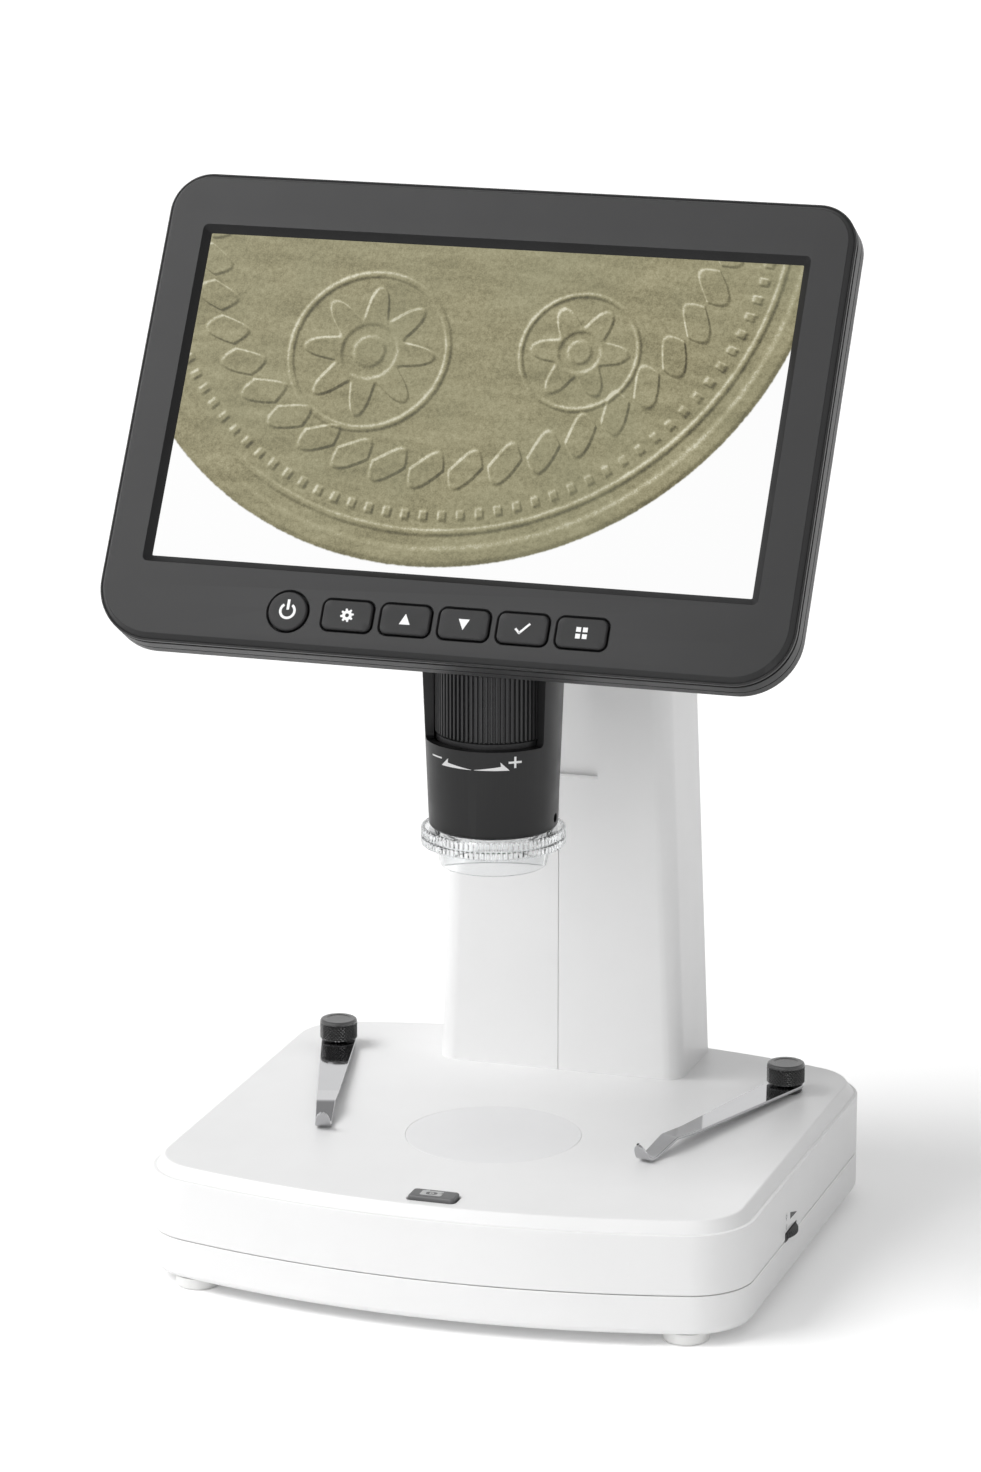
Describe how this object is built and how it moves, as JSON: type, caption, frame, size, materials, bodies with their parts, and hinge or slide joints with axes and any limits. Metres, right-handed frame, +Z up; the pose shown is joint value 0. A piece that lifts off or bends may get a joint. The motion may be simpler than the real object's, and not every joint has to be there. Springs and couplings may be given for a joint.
{
  "type": "lcd digital microscope",
  "caption": "Desktop digital microscope: base with lit stage and spring clips, column with geared height slide, focusing barrel with clear shroud, tilting screen with keys.",
  "frame": {"origin": "on the table under the middle of the base", "axes": "+X to the right of someone who faces the screen, +Y to the back, +Z up"},
  "size_m": [0.1784, 0.1518, 0.2742],
  "materials": {
    "barrel_black": "satin",
    "battery_wrap": "shrink film",
    "black_plastic": "satin",
    "board": "solder mask",
    "brass": "turned",
    "button_grey": "satin",
    "clear_plastic": "clear",
    "dark_steel": "satin",
    "diffuser": "translucent, satin",
    "display": "lit picture",
    "key_rubber": "matt",
    "knob_black": "knurled, black",
    "lens_glass": "coated",
    "light_rubber": "matt",
    "polished_steel": "polished",
    "screen_grey": "fine satin grain",
    "steel": "brushed",
    "white_plastic": "satin"
  },
  "bodies": {
    "base": {"base_top_cover": "white_plastic", "base_bottom_tray": "white_plastic", "foot_front_left": "light_rubber", "foot_front_right": "light_rubber", "foot_rear_left": "light_rubber", "foot_rear_right": "light_rubber", "base_screws": "steel", "stage_diffuser": "diffuser", "stage_led_board": "board", "base_board": "board", "battery_pack": "battery_wrap", "usb_port": "steel", "card_slot": "steel", "snapshot_switch": "board", "brightness_pot": "black_plastic", "clip_inserts": "brass", "column_left_shell": "white_plastic", "column_right_shell": "white_plastic", "column_cap": "white_plastic", "column_base_plate": "steel", "column_screws": "steel", "guide_rods": "steel", "shaft_bushes": "brass"},
    "snapshot_button": {"snapshot_button": "button_grey"},
    "brightness_wheel": {"brightness_wheel": "black_plastic"},
    "clip_left": {"clip_left": "polished_steel"},
    "clip_right": {"clip_right": "polished_steel"},
    "clip_knob_left": {"clip_knob_left": "knob_black"},
    "clip_knob_right": {"clip_knob_right": "knob_black"},
    "height_drive": {"pinion_shaft": "steel", "height_knob_left": "black_plastic", "height_knob_right": "black_plastic"},
    "head": {"carriage": "steel", "carriage_bushes": "brass", "gear_rack": "steel", "shutter_plate": "white_plastic", "head_housing": "white_plastic", "head_cover": "white_plastic", "hinge_mount": "dark_steel", "hinge_pin": "steel", "barrel_sleeve": "barrel_black", "sensor_board": "board", "led_ring_board": "board"},
    "focus_wheel": {"focus_wheel": "black_plastic"},
    "lens": {"lens_carrier": "black_plastic", "objective_lens": "lens_glass"},
    "light_shroud": {"light_shroud": "clear_plastic"},
    "screen": {"screen_bezel": "screen_grey", "display_panel": "display", "key_board": "board", "driver_board": "board", "screen_rear_shell": "screen_grey", "screen_bracket": "dark_steel", "screen_screws": "steel"},
    "power_key": {"power_key": "key_rubber"},
    "menu_key": {"menu_key": "key_rubber"},
    "up_key": {"up_key": "key_rubber"},
    "down_key": {"down_key": "key_rubber"},
    "confirm_key": {"confirm_key": "key_rubber"},
    "mode_key": {"mode_key": "key_rubber"}
  },
  "joints": [
    {"name": "height_slide", "type": "slide", "parent": "base", "child": "head", "axis": [0, 0, 1], "range_m": [-0.03, 0.01]},
    {"name": "height_knob_turn", "type": "hinge", "parent": "base", "child": "height_drive", "pos_m": [0, 0.06137, 0.156], "axis": [1, 0, 0], "range_deg": [-118, 352]},
    {"name": "screen_tilt", "type": "hinge", "parent": "head", "child": "screen", "pos_m": [0, -0.0064, 0.1976], "axis": [1, 0, 0], "range_deg": [-30, 8]},
    {"name": "focus_turn", "type": "hinge", "parent": "head", "child": "focus_wheel", "pos_m": [0, -0.0159, 0.14], "axis": [0, 0, 1], "range_deg": [-150, 150]},
    {"name": "lens_slide", "type": "slide", "parent": "head", "child": "lens", "axis": [0, 0, 1], "range_m": [-0.003, 0.003]},
    {"name": "shroud_pull", "type": "slide", "parent": "head", "child": "light_shroud", "axis": [0, 0, -1], "range_m": [0, 0.014]},
    {"name": "snapshot_press", "type": "slide", "parent": "base", "child": "snapshot_button", "axis": [0, 0, -1], "range_m": [0, 0.0008], "stiffness_N_per_m": 400, "springref_m": -0.0008},
    {"name": "brightness_turn", "type": "hinge", "parent": "base", "child": "brightness_wheel", "pos_m": [0.0722, -0.0154, 0.014], "axis": [0, 0, 1], "range_deg": [-135, 135]},
    {"name": "clip_left_swing", "type": "hinge", "parent": "base", "child": "clip_left", "pos_m": [-0.0622, 0.0415, 0.0338], "axis": [0, 0, 1], "range_deg": [-10, 24]},
    {"name": "clip_right_swing", "type": "hinge", "parent": "base", "child": "clip_right", "pos_m": [0.0622, 0.0415, 0.0338], "axis": [0, 0, 1], "range_deg": [-24, 10]},
    {"name": "clip_knob_left_turn", "type": "hinge", "parent": "base", "child": "clip_knob_left", "pos_m": [-0.0622, 0.0415, 0.037], "axis": [0, 0, 1], "range_deg": [-180, 180]},
    {"name": "clip_knob_right_turn", "type": "hinge", "parent": "base", "child": "clip_knob_right", "pos_m": [0.0622, 0.0415, 0.037], "axis": [0, 0, 1], "range_deg": [-180, 180]},
    {"name": "power_key_press", "type": "slide", "parent": "screen", "child": "power_key", "axis": [0, 0.8545, -0.5195], "range_m": [0, 0.0004], "stiffness_N_per_m": 400, "springref_m": -0.0008},
    {"name": "menu_key_press", "type": "slide", "parent": "screen", "child": "menu_key", "axis": [0, 0.8545, -0.5195], "range_m": [0, 0.0004], "stiffness_N_per_m": 400, "springref_m": -0.0008},
    {"name": "up_key_press", "type": "slide", "parent": "screen", "child": "up_key", "axis": [0, 0.8545, -0.5195], "range_m": [0, 0.0004], "stiffness_N_per_m": 400, "springref_m": -0.0008},
    {"name": "down_key_press", "type": "slide", "parent": "screen", "child": "down_key", "axis": [0, 0.8545, -0.5195], "range_m": [0, 0.0004], "stiffness_N_per_m": 400, "springref_m": -0.0008},
    {"name": "confirm_key_press", "type": "slide", "parent": "screen", "child": "confirm_key", "axis": [0, 0.8545, -0.5195], "range_m": [0, 0.0004], "stiffness_N_per_m": 400, "springref_m": -0.0008},
    {"name": "mode_key_press", "type": "slide", "parent": "screen", "child": "mode_key", "axis": [0, 0.8545, -0.5195], "range_m": [0, 0.0004], "stiffness_N_per_m": 400, "springref_m": -0.0008}
  ],
  "couplings": [
    {"joint": "height_knob_turn", "follows": "height_slide", "rad_per_m": -204.08},
    {"joint": "focus_turn", "follows": "lens_slide", "rad_per_m": 872.66}
  ]
}
